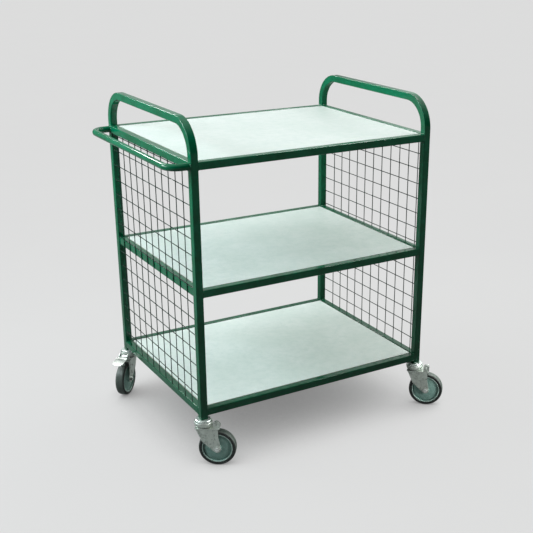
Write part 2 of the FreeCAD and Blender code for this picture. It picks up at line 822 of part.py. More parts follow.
def axle_nut(where, placement):
    label = "castor_axle_nut_" + where
    nut = hexagon(label + "_hexagon", size.axle_across, size.axle_nut_height,
                  (0, leg_out + size.axle_nut_height, 0), (1, 0, 0), 90)
    hole = rod(label + "_thread", size.axle_size / 2 + THREAD_GAP, 12,
               (0, leg_out + 9, 0), (1, 0, 0), 90)
    subpart(boolean("Cut", label, nut, hole), label, placement)


def axle_bush(where, placement):
    """Bush that the axle bolt clamps between the legs."""
    label = "castor_axle_bush_" + where
    bush = body(label)
    ring = sketch(bush, label + "_ring", "XZ_Plane", -(size.fork_gap / 2))
    circle(ring, 0, 0, size.bush_radius)
    circle(ring, 0, 0, size.axle_size / 2 + CLEARANCE)
    pad(bush, label + "_sleeve", ring, size.fork_gap)
    subpart(bush, label, placement)


def turned(label, points, placement):
    """Piece turned about its Y axis."""
    part = body(label)
    profile = sketch(part, label + "_profile", "XY_Plane")
    outline(profile, points)
    revolve(part, label + "_turned", profile)
    subpart(part, label, placement)


def wheel_centre(where, placement):
    """Moulded wheel centre, running on the bush."""
    hub = size.fork_gap / 2 - 0.5
    ring, rim = size.ring_radius, size.rim_radius
    # radius, distance from the wheel's middle plane
    face = [
        (size.bush_radius + CLEARANCE, hub), (12.2, hub), (13, hub - 0.8), (13.4, hub - 3.5),
        (14.5, hub - 4.6), (20, hub - 5.0), (27, hub - 5.6), (34, hub - 6.6),
        (40, hub - 8.0), (44.5, hub - 9.6), (45.5, hub - 10.2), (46.8, hub - 10.2),
        (47.4, hub - 9.4), (47.8, 14.2), (48.6, 14.9), (50.2, 14.9), (ring, 14.2),
        (ring, size.rim_half_width), (rim, size.rim_half_width)]
    turned("castor_wheel_centre_" + where, mirrored(face), placement)


def tyre(where, placement):
    """Rubber tyre bonded round the rim, with round shoulders."""
    wide, tread = size.tread_width / 2, size.wheel_radius
    # radius, distance from the wheel's middle plane
    side = [
        (size.rim_radius, size.rim_half_width), (size.ring_radius, size.rim_half_width),
        (size.ring_radius, 13.6), (51.8, 14.8), (53.5, wide - 0.5), (56, wide),
        (tread - 4.6, wide - 0.2), (tread - 2.8, wide - 1.0), (tread - 1.3, wide - 2.6),
        (tread - 0.45, wide - 4.8), (tread - 0.1, wide - 7.5), (tread, 5)]
    turned("castor_tyre_" + where, mirrored(side), placement)


# -------------------------------------------------------------------- brakes
# Brake pieces are drawn with the pedal's pivot as the Y axis.

def brake_pedal(where, placement):
    """Foot pedal: rolled hub on the pivot, wide tread, shoe pointing down."""
    label = "brake_pedal_" + where
    pedal = body(label)
    far, near = size.pedal_hub_far, size.pedal_hub_near
    hub = sketch(pedal, label + "_hub_round", "XZ_Plane", -far)
    circle(hub, 0, 0, size.pedal_hub_radius)
    pad(pedal, label + "_hub", hub, far + near)

    wide = size.pedal_half_width
    tip = size.pedal_end - size.trail
    tread = sketch(pedal, label + "_tread_side", "XZ_Plane", -wide)
    # x, z: out along the upper face and back along the lower
    outline(tread, [
        (0, 3.5), (18, 3.5), (28, 1.6), (44, 0.4), (tip - 12, -1.6), (tip - 4, -3.6),
        (tip, -7), (tip - 2.4, -8.6), (tip - 5.6, -6.4), (tip - 12, -4.6), (44, -2.6),
        (28, -1.4), (17.4, 0.5), (0, 0.5)])
    pad(pedal, label + "_tread", tread, 2 * wide)

    # narrow neck between the ears; on the -Y side also cut away over the
    # spring.  Columns x, y of what is removed.
    neck = sketch(pedal, label + "_trim", "XY_Plane", 20)
    flank = [(13.5, far), (15.5, 14.6), (18, wide), (18, 30), (-8, 30)]
    spring_side = [(-8, -near), (7.5, -near), (7.5, -far)] + flipped(flank)
    outline(neck, spring_side[::-1])
    outline(neck, [(-8, far)] + flank)
    pocket(pedal, label + "_neck", neck, 40)

    # round corners at the tip: x, y of what is removed
    ends = sketch(pedal, label + "_tip_trim", "XY_Plane", 20)
    corner = [(tip - 14, wide), (tip - 8, 19.3), (tip - 3.4, 16), (tip - 0.6, 11),
              (tip + 1, 5), (tip + 8, 5), (tip + 8, 30), (tip - 14, 30)]
    outline(ends, flipped(corner))
    outline(ends, corner[::-1])
    pocket(pedal, label + "_tip", ends, 60)

    slot = sketch(pedal, label + "_slot_shape", "XY_Plane", 20)
    rounded(slot, 33, 0, 8, 24, 2.5)
    pocket(pedal, label + "_slot", slot, 40)

    shoe = sketch(pedal, label + "_shoe_side", "XZ_Plane", -10)
    # x, z
    outline(shoe, [(25.6, 0), (28.6, -0.5), (28.9, -14), (27.6, -22.4), (24.8, -23.6),
                   (23.2, -22.4), (25.6, -14)])
    pad(pedal, label + "_shoe", shoe, 20)
    cross_bore(pedal, label, "_pin_hole", "_bore", 0, 0, size.pivot_size / 2 + CLEARANCE)
    subpart(pedal, label, placement)


def pivot_pin(where, placement):
    """Pivot pin with a head at each end."""
    radius, ear = size.pivot_size / 2, size.ear_outside
    # radius, distance from the middle of the pin
    side = [(radius, ear + 0.1), (radius + 1.6, ear + 0.1), (radius + 1.6, ear + 1.2),
            (radius + 0.6, ear + 2.2), (0, ear + 2.2)]
    turned("brake_pivot_pin_" + where, mirrored(side), placement)


def brake_spring(where, placement):
    """Torsion spring of one bent wire, coiled round the pin beside the hub.

    One leg lies under the tread, the other reaches down towards the fork
    plate.  It is drawn with the coil's axis as Z and then turned.
    """
    label = "brake_spring_" + where
    wire_radius, coil_radius, pitch = 0.7, 5.0, 1.5
    coil_steps, leg_steps = 92, 4
    coil_start_y = -7.9
    foot = (size.fork_top - size.pivot_height).value + 1.2
    tail = Vector(16, -1, 0)

    def on_coil(angle, rise):
        return Vector(coil_radius * math.cos(angle), coil_radius * math.sin(angle), rise)

    # the tail meets the coil along a tangent
    lean = math.atan2(tail.y, tail.x) - math.acos(coil_radius / tail.Length)
    touch = on_coil(lean, 0)
    spots = [tail + (touch - tail) * (k / leg_steps) for k in range(leg_steps)]
    sweep = 8 * math.pi + lean
    for k in range(coil_steps + 1):
        turned_by = sweep * k / coil_steps
        spots.append(on_coil(lean - turned_by, pitch * turned_by / (2 * math.pi)))
    coil_end = spots[-1].z
    spots += [Vector(coil_radius, foot * k / leg_steps, coil_end)
              for k in range(1, leg_steps + 1)]

    curve = Part.BSplineCurve()
    curve.interpolate(spots)
    ring = Part.Wire(Part.makeCircle(wire_radius, spots[0], spots[1] - spots[0]))
    spring = doc.addObject("Part::Feature", label)
    spring.Shape = Part.Wire(curve.toShape()).makePipeShell([ring], True, False)
    # the coil's axis is turned onto the pin's axis
    beside_hub = Placement(Vector(0, coil_start_y, 0), Rotation(Vector(1, 0, 0), 90))
    subpart(spring, label, placement.multiply(beside_hub))


for where, side_x, side_y, swing, braked in CASTORS:
    head_at = Placement(vector(side_x * post_x, side_y * post_y, -size.deck_height),
                        Rotation(Vector(0, 0, 1), swing.value))
    axle_at = head_at.multiply(Placement(vector(size.trail, 0, size.wheel_radius), Rotation()))
    castor_crown(where, head_at)
    castor_fork(where, braked, head_at)
    for build in (axle_bolt, axle_nut, axle_bush, wheel_centre, tyre):
        build(where, axle_at)
    if braked:
        pivot_at = head_at.multiply(
            Placement(vector(size.trail, 0, size.pivot_height), Rotation()))
        for build in (brake_pedal, pivot_pin, brake_spring):
            build(where, pivot_at)


# ------------------------------------------------------- checks and writing

doc.recompute()
for item in doc.Objects:
    if "Invalid" in item.State or "Error" in item.State:
        raise RuntimeError("failed object: %s %s" % (item.Name, item.State))
labels = [part.Label for part in subparts]
if len(set(labels)) != len(labels):
    raise RuntimeError("two sub-parts share a label")
for part in subparts:
    if part.Shape.isNull() or not part.Shape.isValid() or not part.Shape.Solids:
        raise RuntimeError("bad shape: " + part.Label)
for part in subparts:
    part.Shape.exportStep("parts/%s.step" % part.Label)
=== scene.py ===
"""Looks of the mesh-ended three-tier shelf trolley: finishes, weld beads, spot welds, tyre mould lines and a plain studio.

Frame: +X away from the push handle, -Y the open front, +Z up, in metres. The floor is 201 mm below the origin.
"""

import math
import random

import bmesh
import bpy
import numpy as np
from mathutils import Matrix, Vector
from mathutils.bvhtree import BVHTree


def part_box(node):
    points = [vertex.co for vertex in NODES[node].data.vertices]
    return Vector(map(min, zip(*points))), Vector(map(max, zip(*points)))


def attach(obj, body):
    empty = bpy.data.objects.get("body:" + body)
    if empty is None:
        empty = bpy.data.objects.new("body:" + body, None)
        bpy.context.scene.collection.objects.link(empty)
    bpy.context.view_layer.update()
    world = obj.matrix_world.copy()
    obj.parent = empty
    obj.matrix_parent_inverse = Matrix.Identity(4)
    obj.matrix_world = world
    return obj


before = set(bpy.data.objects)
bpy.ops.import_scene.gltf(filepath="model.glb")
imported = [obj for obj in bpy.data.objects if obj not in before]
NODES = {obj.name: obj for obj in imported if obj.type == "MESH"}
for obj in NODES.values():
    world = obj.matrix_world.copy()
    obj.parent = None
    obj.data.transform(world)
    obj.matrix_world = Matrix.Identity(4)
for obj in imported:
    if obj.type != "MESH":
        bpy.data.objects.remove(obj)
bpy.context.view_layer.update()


FLOOR = -0.201
MM = 0.001


WHEELS = ("front_left", "front_right", "back_left", "back_right")


def wheel_axis(name):
    """Centre and axle direction of a wheel at rest, from the tyre's own mesh."""
    co = np.array([v.co for v in NODES[name].data.vertices], float)
    low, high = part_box(name)
    _, _, vt = np.linalg.svd(co - co.mean(0), full_matrices=False)
    axis = Vector(vt[2])
    axis.z = 0
    return (low + high) / 2, axis.normalized()


AXLE = {w: wheel_axis(f"castor_tyre_{w}") for w in WHEELS}


# ------------------------------------------------------------------ shader helpers


class Shader:
    """A material with its node tree, built by small calls that return sockets."""

    def __init__(self, name):
        self.mat = bpy.data.materials.new(name)
        self.mat.use_nodes = True
        self.nt = self.mat.node_tree
        self.nt.nodes.clear()
        self.coord = self.nt.nodes.new("ShaderNodeTexCoord").outputs["Object"]

    def put(self, sock, value):
        if isinstance(value, bpy.types.NodeSocket):
            self.nt.links.new(value, sock)
        elif isinstance(value, (tuple, list)) and len(value) == 3 and sock.type == "RGBA":
            sock.default_value = (*value, 1.0)
        else:
            sock.default_value = value

    def math(self, op, a, b=0.0, c=0.0, clamp=False):
        n = self.nt.nodes.new("ShaderNodeMath")
        n.operation, n.use_clamp = op, clamp
        for i, v in enumerate((a, b, c)):
            if i < len(n.inputs):
                self.put(n.inputs[i], v)
        return n.outputs[0]

    def scaled(self, factors, offset=(0, 0, 0)):
        n = self.nt.nodes.new("ShaderNodeMapping")
        self.nt.links.new(self.coord, n.inputs["Vector"])
        n.inputs["Scale"].default_value = factors
        n.inputs["Location"].default_value = offset
        return n.outputs[0]

    def noise(self, scale, detail=2.0, rough=0.5, vector=None, distortion=0.0):
        n = self.nt.nodes.new("ShaderNodeTexNoise")
        self.nt.links.new(vector or self.coord, n.inputs["Vector"])
        n.inputs["Scale"].default_value = scale
        n.inputs["Detail"].default_value = detail
        n.inputs["Roughness"].default_value = rough
        n.inputs["Distortion"].default_value = distortion
        return n.outputs[0]

    def cells(self, scale, vector=None, feature="F1", colour=False, randomness=1.0):
        n = self.nt.nodes.new("ShaderNodeTexVoronoi")
        n.feature = feature
        self.nt.links.new(vector or self.coord, n.inputs["Vector"])
        n.inputs["Scale"].default_value = scale
        n.inputs["Randomness"].default_value = randomness
        return n.outputs["Color"] if colour else n.outputs["Distance"]

    def span(self, value, low, high, to_low=0.0, to_high=1.0):
        n = self.nt.nodes.new("ShaderNodeMapRange")
        n.interpolation_type = "SMOOTHSTEP"
        self.put(n.inputs[0], value)
        for i, v in enumerate((low, high, to_low, to_high), 1):
            self.put(n.inputs[i], v)
        return n.outputs[0]

    def blend(self, fac, a, b, mode="MIX"):
        n = self.nt.nodes.new("ShaderNodeMix")
        n.data_type, n.blend_type = "RGBA", mode
        ins = [s for s in n.inputs if s.enabled]
        self.put(ins[0], fac)
        self.put(ins[1], a)
        self.put(ins[2], b)
        return [s for s in n.outputs if s.enabled][0]

    def bump(self, height, strength, distance, normal=None):
        n = self.nt.nodes.new("ShaderNodeBump")
        n.inputs["Strength"].default_value = strength
        n.inputs["Distance"].default_value = distance
        self.put(n.inputs["Height"], height)
        if normal is not None:
            self.nt.links.new(normal, n.inputs["Normal"])
        return n.outputs[0]

    def edges(self, radius, samples=4):
        """1 on convex or concave edges, 0 on open faces; drives wear, darker board edges and painted edge highlights.
        """
        b = self.nt.nodes.new("ShaderNodeBevel")
        b.samples = samples
        b.inputs["Radius"].default_value = radius
        g = self.nt.nodes.new("ShaderNodeNewGeometry")
        d = self.nt.nodes.new("ShaderNodeVectorMath")
        d.operation = "DOT_PRODUCT"
        self.nt.links.new(b.outputs[0], d.inputs[0])
        self.nt.links.new(g.outputs["Normal"], d.inputs[1])
        return self.span(d.outputs["Value"], 0.985, 0.80)

    def radius(self, wheel):
        """Distance from a wheel's axle, in metres, turning with the wheel."""
        centre, axis = AXLE[wheel]
        last = self.coord
        for op, value in (("SUBTRACT", centre), ("CROSS_PRODUCT", axis), ("LENGTH", None)):
            n = self.nt.nodes.new("ShaderNodeVectorMath")
            n.operation = op
            self.nt.links.new(last, n.inputs[0])
            if value is not None:
                n.inputs[1].default_value = value
            last = n.outputs["Value"] if op == "LENGTH" else n.outputs["Vector"]
        return last

    def upward(self):
        g = self.nt.nodes.new("ShaderNodeNewGeometry")
        s = self.nt.nodes.new("ShaderNodeSeparateXYZ")
        self.nt.links.new(g.outputs["Normal"], s.inputs[0])
        return s.outputs["Z"]

    def finish(self, **inputs):
        p = self.nt.nodes.new("ShaderNodeBsdfPrincipled")
        for key, value in inputs.items():
            self.put(p.inputs[key.replace("_", " ")], value)
        o = self.nt.nodes.new("ShaderNodeOutputMaterial")
        self.nt.links.new(p.outputs[0], o.inputs[0])
        return self.mat


# ------------------------------------------------------------------ finishes


def enamel(name, base, light, deep, rough):
    """Glossy stoved enamel: slight orange peel, faint mottling of depth, dust nibs, wear on edges, a painted
    highlight along the edges and painted shade towards the floor.
    """
    s = Shader(name)
    depth = s.noise(9, 3, 0.6)
    fine = s.noise(60, 2, 0.5)
    col = s.blend(s.span(depth, 0.30, 0.72), deep, base)
    col = s.blend(s.math("MULTIPLY", s.span(fine, 0.45, 0.75), 0.35), col, light)
    # painted highlight: every edge is lightened, the upward-facing ones almost to white; a few spots on the edges are
    # rubbed to primer
    edge_sheen_and_wear = s.edges(0.0016)
    patch = s.span(s.noise(130, 3, 0.65), 0.50, 0.62)
    upward_edge_highlight = s.math("MULTIPLY", edge_sheen_and_wear, s.span(s.upward(), 0.05, 0.6))
    # painted highlight: edges towards the lighter green, upward-facing edges towards near white
    col = s.blend(s.math("MULTIPLY", edge_sheen_and_wear, 0.35), col, light)
    col = s.blend(s.math("MULTIPLY", upward_edge_highlight, 0.62), col, tuple(min(0.85, 3.2 * c + 0.10) for c in light))
    worn = s.math("MULTIPLY", s.math("MULTIPLY", edge_sheen_and_wear, patch), s.span(s.noise(14, 2), 0.58, 0.68))
    col = s.blend(s.math("MULTIPLY", worn, 0.55), col, (0.23, 0.27, 0.25))
    # painted shade: the paint darkens steadily from near the top down to the floor, to a near-black green
    sep = s.nt.nodes.new("ShaderNodeSeparateXYZ")
    s.nt.links.new(s.coord, sep.inputs[0])
    low = s.span(s.math("ADD", sep.outputs["Z"], s.math("MULTIPLY", depth, 0.10)), 0.85, -0.05)
    col = s.blend(s.math("MULTIPLY", low, 0.52), col, (0.0006, 0.022, 0.009))
    # light film of dust on what faces up
    film = s.math("MULTIPLY", s.span(s.upward(), 0.6, 1.0), s.span(s.noise(35, 4, 0.7), 0.35, 0.8))
    col = s.blend(s.math("MULTIPLY", film, 0.06), col, (0.50, 0.52, 0.49))
    rub = s.span(s.noise(22, 4, 0.65), 0.35, 0.75, rough * 0.8, rough * 1.5)
    r = s.math("ADD", rub, s.math("MULTIPLY", worn, 0.3), clamp=True)
    peel = s.noise(420, 2, 0.45)
    sag = s.noise(70, 1, 0.4)
    nibs = s.span(s.cells(160), 0.12, 0.0)
    h = s.math("ADD", s.math("MULTIPLY", peel, 0.5), s.math("MULTIPLY", sag, 1.4))
    h = s.math("ADD", h, s.math("MULTIPLY", nibs, 0.25))
    h = s.math("SUBTRACT", h, s.math("MULTIPLY", worn, 0.6))
    n = s.bump(h, 0.35, 0.00022)
    return s.finish(
        Base_Color=col, Roughness=r, Normal=n, IOR=1.45, Specular_IOR_Level=0.30
    )


def laminate():
    """White melamine face: fine pearl texture, faint grey-green mottle, scuffs, a soft darker chipboard edge."""
    s = Shader("finish_board_laminate")
    big = s.noise(5.5, 4, 0.62)
    mid = s.noise(38, 5, 0.68)
    tiny = s.noise(340, 3, 0.6)
    col = s.blend(s.span(big, 0.33, 0.70), (0.745, 0.815, 0.782), (0.830, 0.878, 0.858))
    col = s.blend(s.math("MULTIPLY", s.span(mid, 0.40, 0.68), 0.42), col, (0.650, 0.738, 0.712))
    col = s.blend(s.math("MULTIPLY", s.span(tiny, 0.48, 0.66), 0.30), col, (0.57, 0.675, 0.64))
    streak = s.noise(1.0, 5, 0.6, s.scaled((22, 420, 30)))
    scuff = s.math("MULTIPLY", s.span(streak, 0.66, 0.74), s.span(s.noise(6, 2), 0.5, 0.7))
    col = s.blend(s.math("MULTIPLY", scuff, 0.28), col, (0.47, 0.49, 0.47))
    # sides are the cut core with its band
    side = s.span(s.math("ABSOLUTE", s.upward()), 0.9, 0.4)
    chips = s.cells(420, colour=True)
    core = s.blend(s.span(s.noise(500, 3), 0.4, 0.7), (0.42, 0.36, 0.27), (0.60, 0.52, 0.40))
    core = s.blend(0.25, core, chips, "SOFT_LIGHT")
    col = s.blend(s.math("MULTIPLY", side, 0.55), col, core)
    edge = s.edges(0.0012)
    col = s.blend(s.math("MULTIPLY", edge, 0.30), col, (0.50, 0.52, 0.50))
    r = s.span(mid, 0.35, 0.75, 0.34, 0.50)
    r = s.math("ADD", r, s.math("MULTIPLY", scuff, 0.12), clamp=True)
    h = s.math("ADD", s.math("MULTIPLY", tiny, 0.6), s.math("MULTIPLY", s.cells(900), 0.4))
    h = s.math("SUBTRACT", h, s.math("MULTIPLY", scuff, 0.4))
    n = s.bump(h, 0.25, 0.00012)
    return s.finish(Base_Color=col, Roughness=r, Normal=n, IOR=1.5, Specular_IOR_Level=0.45)


def zinc(name, base, dull, rough, spangle, brushed):
    """Bright zinc plate: patches of differing passivate and tarnish, fine draw lines, a painted highlight on the
    edges.
    """
    s = Shader(name)
    cells = s.cells(spangle, colour=True)
    grey = s.nt.nodes.new("ShaderNodeRGBToBW")
    s.nt.links.new(cells, grey.inputs[0])
    cloud = s.noise(55, 4, 0.62)
    col = s.blend(s.span(cloud, 0.32, 0.70), dull, base)
    col = s.blend(s.math("MULTIPLY", grey.outputs[0], 0.16), col, (0.86, 0.89, 0.88))
    tarnish = s.span(s.noise(150, 4, 0.7), 0.58, 0.74)
    col = s.blend(s.math("MULTIPLY", tarnish, 0.30), col, (0.36, 0.37, 0.33))
    # painted highlight: the edges are lightened almost to white
    edge = s.edges(0.0016)
    col = s.blend(s.math("MULTIPLY", edge, 0.85), col, (0.96, 0.98, 0.97))
    lines = s.noise(1.0, 4, 0.6, s.scaled((brushed, brushed, 60)))
    r = s.math("ADD", s.span(cloud, 0.3, 0.75, rough * 0.8, rough * 1.3), s.math("MULTIPLY", tarnish, 0.12))
    r = s.math("ADD", r, s.math("MULTIPLY", s.span(lines, 0.4, 0.7), 0.06), clamp=True)
    h = s.math("ADD", s.math("MULTIPLY", lines, 0.6), s.math("MULTIPLY", s.noise(600, 2), 0.4))
    n = s.bump(h, 0.30, 0.00010)
    return s.finish(Base_Color=col, Metallic=0.62, Roughness=r, Normal=n)


def steel():
    s = Shader("finish_bright_steel")
    cloud = s.noise(240, 3, 0.6)
    col = s.blend(s.span(cloud, 0.3, 0.7), (0.55, 0.56, 0.57), (0.74, 0.75, 0.75))
    lines = s.noise(1.0, 3, 0.6, s.scaled((1500, 1500, 200)))
    col = s.blend(s.math("MULTIPLY", s.span(s.noise(420, 3), 0.6, 0.72), 0.4), col, (0.28, 0.24, 0.19))
    r = s.span(lines, 0.3, 0.7, 0.16, 0.32)
    return s.finish(Base_Color=col, Metallic=1.0, Roughness=r, Normal=s.bump(lines, 0.2, 0.00005))


def nylon(wheel):
    """Moulded grey wheel centre: flow mottling, satin skin, grit and dust, a painted highlight on the edges and the
    raised ring, painted shade in the groove inside it.
    """
    s = Shader(f"finish_grey_nylon_{wheel}")
    out = s.radius(wheel)
    flow = s.noise(48, 4, 0.6, distortion=1.2)
    col = s.blend(s.span(flow, 0.3, 0.72), (0.250, 0.440, 0.390), (0.360, 0.570, 0.515))
    grit = s.span(s.noise(430, 4, 0.7), 0.42, 0.62)
    col = s.blend(s.math("MULTIPLY", grit, 0.45), col, (0.085, 0.165, 0.142))
    # painted highlight: the edges are lightened to a pale grey-green
    col = s.blend(s.math("MULTIPLY", s.edges(0.0018), 0.85), col, (0.50, 0.60, 0.56))
    # painted highlight: the raised outer ring is painted pale; painted shade: the groove inside it is painted near
    # black
    col = s.blend(s.math("MULTIPLY", s.span(out, 0.0474, 0.0484), 0.72), col, (0.62, 0.78, 0.72))
    groove = s.math("MULTIPLY", s.span(out, 0.0445, 0.0458), s.span(out, 0.0480, 0.0470))
    col = s.blend(s.math("MULTIPLY", groove, 0.65), col, (0.030, 0.055, 0.050))
    dust = s.span(s.noise(170, 5, 0.72), 0.47, 0.70)
    col = s.blend(s.math("MULTIPLY", dust, 0.22), col, (0.42, 0.43, 0.41))
    r = s.span(flow, 0.3, 0.7, 0.36, 0.52)
    h = s.math("ADD", s.noise(900, 2), s.math("MULTIPLY", flow, 0.8))
    return s.finish(Base_Color=col, Roughness=r, Normal=s.bump(h, 0.22, 0.00012), Specular_IOR_Level=0.5)


def rubber(wheel):
    """Black tyre: matt moulded skin, grey scuff, floor dust, and a grey-green tread that is partly dust and partly a
    painted sheen.
    """
    s = Shader(f"finish_black_tyre_{wheel}")
    out = s.radius(wheel)
    cloud = s.noise(70, 4, 0.65)
    col = s.blend(s.span(cloud, 0.32, 0.72), (0.010, 0.013, 0.013), (0.030, 0.036, 0.034))
    dust = s.span(s.noise(260, 5, 0.72), 0.50, 0.72)
    col = s.blend(s.math("MULTIPLY", dust, 0.26), col, (0.15, 0.155, 0.145))
    scuff = s.span(s.noise(1.0, 4, 0.6, s.scaled((260, 260, 900))), 0.62, 0.72)
    col = s.blend(s.math("MULTIPLY", scuff, 0.18), col, (0.12, 0.125, 0.12))
    # partly floor dust, partly a painted sheen: the tread is lightened to a grey-green
    tread = s.span(out, 0.0598, 0.0614)
    col = s.blend(s.math("MULTIPLY", tread, s.span(cloud, 0.25, 0.6, 0.45, 0.95)), col, (0.072, 0.092, 0.080))
    lathe = s.math("SINE", s.math("MULTIPLY", out, 2 * math.pi / 0.0011))
    r = s.math("ADD", s.span(cloud, 0.3, 0.7, 0.36, 0.52), s.math("MULTIPLY", dust, 0.15), clamp=True)
    h = s.math("ADD", s.noise(700, 3, 0.6), s.math("MULTIPLY", s.cells(480), 0.5))
    h = s.math("ADD", h, s.math("MULTIPLY", lathe, 0.12))
    return s.finish(Base_Color=col, Roughness=r, Normal=s.bump(h, 0.30, 0.00018), Specular_IOR_Level=0.5)


FINISH = {
    "green_paint": enamel("finish_green_paint", (0.0003, 0.158, 0.072), (0.0010, 0.215, 0.108), (0.0002, 0.112, 0.046), 0.10),
    "mesh_paint": enamel("finish_mesh_paint", (0.0040, 0.030, 0.020), (0.009, 0.050, 0.034), (0.002, 0.022, 0.014), 0.22),
    "board_laminate": laminate(),
    "zinc_pressing": zinc("finish_zinc_pressing", (0.66, 0.705, 0.655), (0.45, 0.490, 0.450), 0.29, 300, 700),
    # painted highlight: the castor crowns get a brighter copy of the pressing zinc
    "zinc_pressing_crown": zinc("finish_zinc_crown", (0.80, 0.87, 0.84), (0.64, 0.70, 0.67), 0.25, 300, 900),
    # painted highlight: the hardware zinc is made near white for the glint on the axle bolt heads
    "zinc_hardware": zinc("finish_zinc_hardware", (0.92, 0.94, 0.92), (0.74, 0.77, 0.75), 0.18, 900, 1800),
    "bright_steel": steel(),
}
for w in WHEELS:
    FINISH["grey_nylon_" + w] = nylon(w)
    FINISH["black_tyre_" + w] = rubber(w)

for name, obj in NODES.items():
    for held in obj.material_slots:
        slot = held.material.name.split(".")[0]
        wheel = next((w for w in WHEELS if name.endswith(w)), "")
        # painted highlight: crowns take the brighter copy of the pressing zinc
        if name.startswith("castor_crown"):
            slot += "_crown"
        held.material = FINISH[slot] if slot in FINISH else FINISH[f"{slot}_{wheel}"]


# ------------------------------------------------------------------ extra pieces


def piece(name, bm, slot, body, finish=None):
    mesh = bpy.data.meshes.new(name)
    bmesh.ops.recalc_face_normals(bm, faces=bm.faces)
    bm.to_mesh(mesh)
    bm.free()
    for p in mesh.polygons:
        p.use_smooth = True
    obj = bpy.data.objects.new(name, mesh)
    bpy.context.scene.collection.objects.link(obj)
    mesh.materials.append(FINISH[finish or slot])
    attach(obj, body)
    return obj


def tube(bm, centres, sides, radii, closed=True, ring=8, up=None):
    """A lumpy bead: a ring of points about each centre, in the plane of side and up."""
    rings = []
    for c, s, u, r in zip(centres, sides, up, radii):
        rings.append(
            [
                bm.verts.new(c + (s * math.cos(2 * math.pi * k / ring) + u * math.sin(2 * math.pi * k / ring)) * r)
                for k in range(ring)
            ]
        )
    n = len(rings)
    for i in range(n if closed else n - 1):
        a, b = rings[i], rings[(i + 1) % n]
        for k in range(ring):
            bm.faces.new((a[k], a[(k + 1) % ring], b[(k + 1) % ring], b[k]))
    if not closed:
        bm.faces.new(rings[0])
        bm.faces.new(rings[-1])


def outline(half_w, half_h, corner, step):
    """Points and outward normals of a rounded rectangle, evenly spaced."""
    pts = []
    cw, ch = half_w - corner, half_h - corner
    for cx, cy, a0 in ((cw, ch, 0), (-cw, ch, 90), (-cw, -ch, 180), (cw, -ch, 270)):
        for k in range(7):
            a = math.radians(a0 + 15 * k)
            pts.append((cx + corner * math.cos(a), cy + corner * math.sin(a)))
    pts.append(pts[0])
    lens = [0.0]
    for p, q in zip(pts, pts[1:]):
        lens.append(lens[-1] + math.hypot(q[0] - p[0], q[1] - p[1]))
    count = int(lens[-1] / step)
    out, i = [], 0
    for k in range(count):
        t = lens[-1] * k / count
        while lens[i + 1] < t:
            i += 1
        f = (t - lens[i]) / max(1e-12, lens[i + 1] - lens[i])
        p, q = pts[i], pts[i + 1]
        d = Vector((q[0] - p[0], q[1] - p[1])).normalized()
        out.append((p[0] + (q[0] - p[0]) * f, p[1] + (q[1] - p[1]) * f, d.y, -d.x, t))
    return out


def weld(bm, centre, axis, across, upward, half_w, half_h, corner, size, rng):
    """A rippled fillet bead round a tube end: axis is the tube's direction, across and upward span its section."""
    step = 0.55 * MM
    pts = outline(half_w, half_h, corner, step)
    phase, drift = rng.uniform(0, 6.28), [rng.uniform(0, 6.28) for _ in range(4)]
    total = pts[-1][4] + step
    centres, sides, ups, radii = [], [], [], []
    for x, y, nx, ny, t in pts:
        w = 2 * math.pi * t / total
        lump = 0.10 * math.sin(3 * w + drift[0]) + 0.07 * math.sin(7 * w + drift[1]) + 0.05 * math.sin(11 * w + drift[2])
        ripple = 0.09 * (abs(math.sin(math.pi * round(total / (2.1 * MM)) * t / total + phase)) * 2 - 1.2)
        normal = across * nx + upward * ny
        centres.append(centre + across * x + upward * y + axis * (0.25 * MM * math.sin(5 * w + drift[3])))
        sides.append(axis)
        ups.append(normal)
        radii.append(size * (1 + lump + ripple))
    tube(bm, centres, sides, radii, up=ups)


def blob(bm, centre, radii, rng, detail=1):
    """A small flattened weld nugget."""
    m = Matrix.Translation(centre) @ Matrix.Rotation(rng.uniform(0, 3.1), 4, "X") @ Matrix.Diagonal((*radii, 1))
    made = bmesh.ops.create_icosphere(bm, subdivisions=detail, radius=1.0, matrix=m)
    for v in made["verts"]:
        v.co += (v.co - centre) * rng.uniform(-0.10, 0.10)


X, Y, Z3 = Vector((1, 0, 0)), Vector((0, 1, 0)), Vector((0, 0, 1))
rng = random.Random(41)

# beads where the rails meet the posts, at both ends of every rail
beads = bmesh.new()
for level in ("bottom", "middle", "top"):
    for side in ("front", "back"):
        low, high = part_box(f"rail_{level}_{side}")
        mid = (low + high) / 2
        for x in (low.x, high.x):
            weld(beads, Vector((x, mid.y, mid.z)), X, Y, Z3, 11.0 * MM, 12.5 * MM, 2.4 * MM, 2.1 * MM, rng)
    for side in ("left", "right"):
        low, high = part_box(f"rail_{level}_{side}")
        mid = (low + high) / 2
        for y in (low.y, high.y):
            weld(beads, Vector((mid.x, y, mid.z)), Y, X, Z3, 11.0 * MM, 12.5 * MM, 2.4 * MM, 2.1 * MM, rng)
piece("frame_weld_beads", beads, "green_paint", "trolley_frame")

# round beads where the push handle meets the posts
grip_low, grip_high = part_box("push_handle")
beads = bmesh.new()
for sign in (-1, 1):
    centre = Vector((grip_high.x, 0, (grip_low.z + grip_high.z) / 2))
    centre.y = grip_high.y - 11 * MM if sign > 0 else grip_low.y + 11 * MM
    weld(beads, centre, X, Y, Z3, 11.0 * MM, 11.0 * MM, 10.9 * MM, 2.2 * MM, rng)
piece("handle_weld_beads", beads, "green_paint", "trolley_frame")

